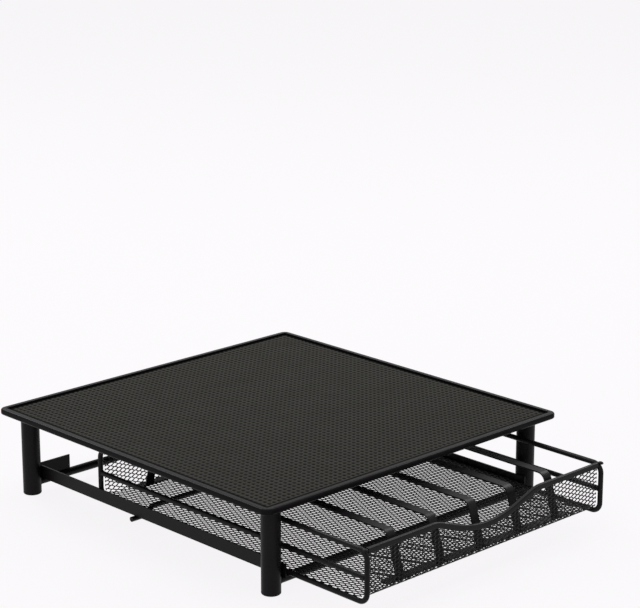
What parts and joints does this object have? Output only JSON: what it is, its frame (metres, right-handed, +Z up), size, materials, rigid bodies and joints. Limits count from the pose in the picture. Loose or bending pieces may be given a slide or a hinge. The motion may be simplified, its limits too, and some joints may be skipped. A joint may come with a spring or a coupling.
{
  "type": "coffee pod drawer",
  "caption": "Low black steel stand with a textured tray top for a coffee machine and a wire and mesh drawer below, with lanes for single-serve pods.",
  "frame": {"origin": "on the table under the middle of the object's box, with the drawer drawn out as pictured", "axes": "+Z up, the drawer opens towards -Y, +X to the right when looking along +Y at the drawer's front"},
  "size_m": [0.406, 0.5024, 0.094],
  "materials": {
    "tray_sheet": "embossed sheet, satin black powder coat",
    "frame_coat": "satin black powder coat",
    "wire_coat": "satin black powder coat",
    "net_coat": "satin black powder coat over expanded metal",
    "foot_plastic": "moulded, matte"
  },
  "bodies": {
    "stand": {"tray_rim": "frame_coat", "tray_panel": "tray_sheet", "leg_front_left": "frame_coat", "leg_front_right": "frame_coat", "leg_rear_left": "frame_coat", "leg_rear_right": "frame_coat", "foot_front_left": "foot_plastic", "foot_front_right": "foot_plastic", "foot_rear_left": "foot_plastic", "foot_rear_right": "foot_plastic", "crossbar_front": "frame_coat", "crossbar_rear": "frame_coat", "side_rail_left": "frame_coat", "side_rail_right": "frame_coat", "rear_stop_left": "frame_coat", "rear_stop_right": "frame_coat"},
    "drawer": {"drawer_side_loop_left": "wire_coat", "drawer_side_loop_right": "wire_coat", "drawer_mid_wire_left": "wire_coat", "drawer_mid_wire_right": "wire_coat", "drawer_floor_net": "net_coat", "drawer_front_net": "net_coat", "drawer_rear_net": "net_coat", "drawer_front_hem": "wire_coat", "drawer_rear_hem": "wire_coat", "drawer_anti_tip_wire": "wire_coat", "lane_strap_front": "wire_coat", "lane_strap_rear": "wire_coat", "lane_strip_1": "wire_coat", "lane_strip_2": "wire_coat", "lane_strip_3": "wire_coat", "lane_strip_4": "wire_coat", "lane_strip_5": "wire_coat"}
  },
  "joints": [
    {"name": "drawer_slide", "type": "slide", "parent": "stand", "child": "drawer", "axis": [0, -1, 0], "range_m": [-0.094, 0.2]}
  ]
}
